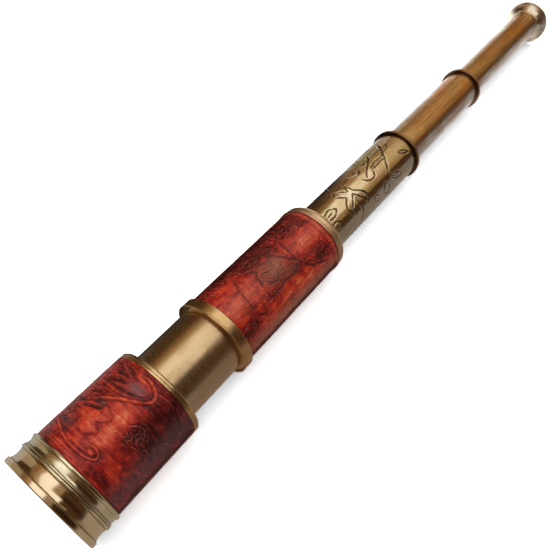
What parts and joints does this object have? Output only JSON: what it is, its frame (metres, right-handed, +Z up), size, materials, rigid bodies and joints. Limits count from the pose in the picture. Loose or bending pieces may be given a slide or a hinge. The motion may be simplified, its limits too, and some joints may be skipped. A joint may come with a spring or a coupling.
{
  "type": "hand telescope with four draw tubes",
  "caption": "Drawing hand telescope in brass, with embossed red leather covers, sliding draw tubes, a recessed objective and a flared eyecup.",
  "frame": {"origin": "on the optical axis, in the plane of the objective's front rim", "axes": "+X along the optical axis from the objective to the eyepiece; +Z up when the telescope lies on its side"},
  "size_m": [0.4803, 0.0504, 0.0504],
  "materials": {
    "bezel_brass": "polished, antique gold",
    "cell_brass": "satin, pale",
    "green_brass": "polished, pale greenish gold",
    "antique_brass": "polished antique",
    "engraved_brass": "antique with dark filled engraving",
    "copper_brass": "polished, orange brown patina",
    "dark_brass": "darkened bronze",
    "embossed_leather": "embossed, antiqued red, waxed",
    "optical_glass": "polished",
    "blackened_brass": "blackened"
  },
  "bodies": {
    "barrel": {"objective_bezel": "bezel_brass", "objective_cell": "cell_brass", "objective_lens": "optical_glass", "objective_retaining_ring": "blackened_brass", "barrel_front_ring": "green_brass", "barrel_tube": "antique_brass", "barrel_leather": "embossed_leather", "barrel_rear_collar": "antique_brass"},
    "draw_1": {"draw_1_tube": "antique_brass", "draw_1_stop_ring": "antique_brass", "draw_1_collar": "antique_brass", "draw_1_leather": "embossed_leather", "draw_1_rear_ring": "antique_brass"},
    "draw_2": {"draw_2_tube": "engraved_brass", "draw_2_stop_ring": "engraved_brass", "draw_2_collar": "dark_brass"},
    "draw_3": {"draw_3_tube": "copper_brass", "draw_3_stop_ring": "copper_brass", "draw_3_collar": "dark_brass"},
    "draw_4": {"draw_4_tube": "copper_brass", "draw_4_stop_ring": "copper_brass", "erector_cell": "blackened_brass", "erector_lens_front": "optical_glass", "erector_lens_rear": "optical_glass", "erector_retaining_rings": "blackened_brass", "field_lens_cell": "blackened_brass", "field_lens": "optical_glass", "field_stop": "blackened_brass", "eyecup": "green_brass", "eye_lens": "optical_glass", "eye_lens_retaining_ring": "blackened_brass"}
  },
  "joints": [
    {"name": "draw_1_slide", "type": "slide", "parent": "barrel", "child": "draw_1", "axis": [-1, 0, 0], "range_m": [0, 0.0341]},
    {"name": "draw_2_slide", "type": "slide", "parent": "draw_1", "child": "draw_2", "axis": [-1, 0, 0], "range_m": [0, 0.0865]},
    {"name": "draw_3_slide", "type": "slide", "parent": "draw_2", "child": "draw_3", "axis": [-1, 0, 0], "range_m": [0, 0.0866]},
    {"name": "draw_4_slide", "type": "slide", "parent": "draw_3", "child": "draw_4", "axis": [-1, 0, 0], "range_m": [0, 0.1074]}
  ]
}
